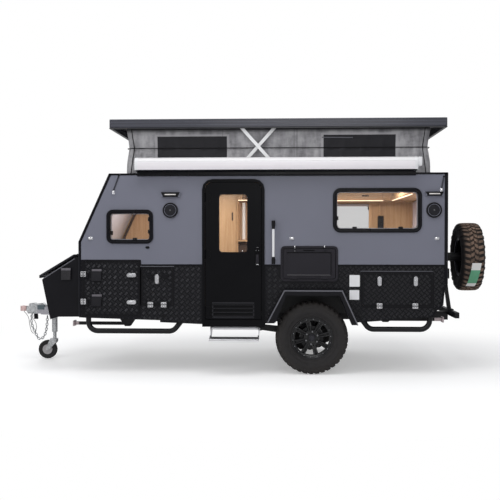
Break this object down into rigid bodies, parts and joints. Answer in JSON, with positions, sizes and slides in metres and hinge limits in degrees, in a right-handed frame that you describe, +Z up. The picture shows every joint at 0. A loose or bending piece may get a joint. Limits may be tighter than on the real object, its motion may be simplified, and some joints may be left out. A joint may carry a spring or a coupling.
{
  "type": "pop-top caravan",
  "caption": "Off-road pop-top caravan with a lifting roof, canvas sides, rolled awning, entry door, lockers, rear spare wheel and a jockey wheel at the hitch.",
  "frame": {"origin": "on the ground under the middle of the caravan's length, on the body's centreline", "axes": "+X to the rear, -X to the hitch, -Y the door side, +Z up"},
  "size_m": [5.578, 2.37, 2.846],
  "materials": {
    "wall_grey": "satin blue-grey composite panel",
    "checker_black": "black powder-coated checker plate",
    "satin_black": "satin black powder coat",
    "roof_blue": "satin dark blue-grey",
    "awning_white": "white gloss",
    "canvas_grey": "woven canvas",
    "lifter_white": "white powder coat",
    "galvanised": "galvanised",
    "rubber": "moulded rubber",
    "rim_black": "gloss black",
    "glass_tint": "tinted acrylic",
    "joinery_wood": "satin laminate",
    "step_metal": "anodised",
    "lamp_red": "moulded lens",
    "tank_black": "moulded plastic",
    "floor_grey": "vinyl floor"
  },
  "bodies": {
    "caravan": {"chassis_frame": "satin_black", "coupling": "galvanised", "jockey_post": "galvanised", "water_tank": "tank_black", "suspension_left": "satin_black", "suspension_right": "satin_black", "spare_tyre": "rubber", "spare_rim": "rim_black", "spare_carrier": "satin_black", "tail_lamp_left": "lamp_red", "tail_lamp_right": "lamp_red", "cabin_floor": "floor_grey", "wall_left": "wall_grey", "wall_right": "wall_grey", "wall_front": "wall_grey", "wall_rear": "wall_grey", "skirt_left": "checker_black", "skirt_right": "checker_black", "top_deck": "satin_black", "wheel_flare_left": "satin_black", "wheel_flare_right": "satin_black", "front_box": "satin_black", "door_frame": "satin_black", "window_front_left": "glass_tint", "window_rear_left": "glass_tint", "window_rear_right": "glass_tint", "table_frame": "satin_black", "awning_cassette": "awning_white", "grab_handle": "step_metal", "canvas_skirt": "canvas_grey", "boot_partition": "joinery_wood", "bed_base": "joinery_wood", "joinery_right": "joinery_wood"},
    "wheel_left": {"tyre_left": "rubber", "rim_left": "rim_black"},
    "wheel_right": {"tyre_right": "rubber", "rim_right": "rim_black"},
    "jockey_leg": {"jockey_leg": "galvanised"},
    "jockey_wheel": {"jockey_wheel": "rubber"},
    "entry_door": {"entry_door": "satin_black", "door_glass": "glass_tint"},
    "boot_door_left": {"boot_door_left": "checker_black"},
    "boot_door_right": {"boot_door_right": "checker_black"},
    "small_hatch": {"small_hatch": "checker_black"},
    "rear_hatch": {"rear_hatch": "checker_black"},
    "table_leaf": {"table_leaf": "satin_black"},
    "front_box_lid": {"front_box_lid": "satin_black"},
    "entry_step": {"entry_step": "step_metal"},
    "corner_leg_front_left": {"corner_leg_front_left": "galvanised"},
    "corner_leg_front_right": {"corner_leg_front_right": "galvanised"},
    "corner_leg_rear_left": {"corner_leg_rear_left": "galvanised"},
    "corner_leg_rear_right": {"corner_leg_rear_right": "galvanised"},
    "roof": {"roof": "roof_blue"},
    "lifter_left_a": {"lifter_left_a": "lifter_white"},
    "lifter_left_b": {"lifter_left_b": "lifter_white"},
    "lifter_right_a": {"lifter_right_a": "lifter_white"},
    "lifter_right_b": {"lifter_right_b": "lifter_white"}
  },
  "joints": [
    {"name": "wheel_left_spin", "type": "hinge", "parent": "caravan", "child": "wheel_left", "pos_m": [0.795, -0.9275, 0.4], "axis": [0, 1, 0], "continuous": true},
    {"name": "wheel_right_spin", "type": "hinge", "parent": "caravan", "child": "wheel_right", "pos_m": [0.795, 0.9275, 0.4], "axis": [0, 1, 0], "continuous": true},
    {"name": "jockey_swivel", "type": "hinge", "parent": "caravan", "child": "jockey_leg", "pos_m": [-2.357, 0, 0.24], "axis": [0, 0, 1], "continuous": true},
    {"name": "jockey_spin", "type": "hinge", "parent": "jockey_leg", "child": "jockey_wheel", "pos_m": [-2.442, 0, 0.115], "axis": [0, 1, 0], "continuous": true},
    {"name": "entry_door_swing", "type": "hinge", "parent": "caravan", "child": "entry_door", "pos_m": [-0.376, -1.072, 1], "axis": [0, 0, -1], "range_deg": [0, 170]},
    {"name": "boot_left_swing", "type": "hinge", "parent": "caravan", "child": "boot_door_left", "pos_m": [-1.723, -1.068, 0.9385], "axis": [0, 0, -1], "range_deg": [0, 110]},
    {"name": "boot_right_swing", "type": "hinge", "parent": "caravan", "child": "boot_door_right", "pos_m": [-1.723, 1.068, 0.9385], "axis": [0, 0, 1], "range_deg": [0, 110]},
    {"name": "small_hatch_drop", "type": "hinge", "parent": "caravan", "child": "small_hatch", "pos_m": [-0.904, -1.068, 0.765], "axis": [-1, 0, 0], "range_deg": [-90, 0]},
    {"name": "rear_hatch_drop", "type": "hinge", "parent": "caravan", "child": "rear_hatch", "pos_m": [1.719, -1.068, 0.757], "axis": [1, 0, 0], "range_deg": [0, 90]},
    {"name": "table_drop", "type": "hinge", "parent": "caravan", "child": "table_leaf", "pos_m": [0.7645, -1.071, 1.057], "axis": [1, 0, 0], "range_deg": [0, 90]},
    {"name": "box_lid_lift", "type": "hinge", "parent": "caravan", "child": "front_box_lid", "pos_m": [-1.832, 0, 1.312], "axis": [0, 1, 0], "range_deg": [0, 80]},
    {"name": "step_slide", "type": "slide", "parent": "caravan", "child": "entry_step", "axis": [0, 1, 0], "range_m": [0, 0.2]},
    {"name": "leg_front_left_drop", "type": "hinge", "parent": "caravan", "child": "corner_leg_front_left", "pos_m": [-1.28, -0.8, 0.53], "axis": [0, -1, 0], "range_deg": [0, 54]},
    {"name": "leg_front_right_drop", "type": "hinge", "parent": "caravan", "child": "corner_leg_front_right", "pos_m": [-1.28, 0.8, 0.53], "axis": [0, -1, 0], "range_deg": [0, 54]},
    {"name": "leg_rear_left_drop", "type": "hinge", "parent": "caravan", "child": "corner_leg_rear_left", "pos_m": [1.62, -0.8, 0.59], "axis": [0, 1, 0], "range_deg": [0, 61]},
    {"name": "leg_rear_right_drop", "type": "hinge", "parent": "caravan", "child": "corner_leg_rear_right", "pos_m": [1.62, 0.8, 0.59], "axis": [0, 1, 0], "range_deg": [0, 61]},
    {"name": "roof_lift", "type": "slide", "parent": "caravan", "child": "roof", "axis": [0, 0, 1], "range_m": [-0.49, 0], "deforming": ["canvas_skirt"]},
    {"name": "lifter_left_a_fold", "type": "hinge", "parent": "caravan", "child": "lifter_left_a", "pos_m": [0.452, -0.988, 2.228], "axis": [0, 1, 0], "range_deg": [-48, 0]},
    {"name": "lifter_left_b_fold", "type": "hinge", "parent": "caravan", "child": "lifter_left_b", "pos_m": [-0.048, -0.965, 2.228], "axis": [0, -1, 0], "range_deg": [-48, 0]},
    {"name": "lifter_right_a_fold", "type": "hinge", "parent": "caravan", "child": "lifter_right_a", "pos_m": [0.452, 0.988, 2.228], "axis": [0, 1, 0], "range_deg": [-48, 0]},
    {"name": "lifter_right_b_fold", "type": "hinge", "parent": "caravan", "child": "lifter_right_b", "pos_m": [-0.048, 0.965, 2.228], "axis": [0, -1, 0], "range_deg": [-48, 0]}
  ],
  "couplings": [
    {"joint": "lifter_left_a_fold", "follows": "roof_lift", "rad_per_m": 1.708},
    {"joint": "lifter_left_b_fold", "follows": "roof_lift", "rad_per_m": 1.708},
    {"joint": "lifter_right_a_fold", "follows": "roof_lift", "rad_per_m": 1.708},
    {"joint": "lifter_right_b_fold", "follows": "roof_lift", "rad_per_m": 1.708}
  ]
}
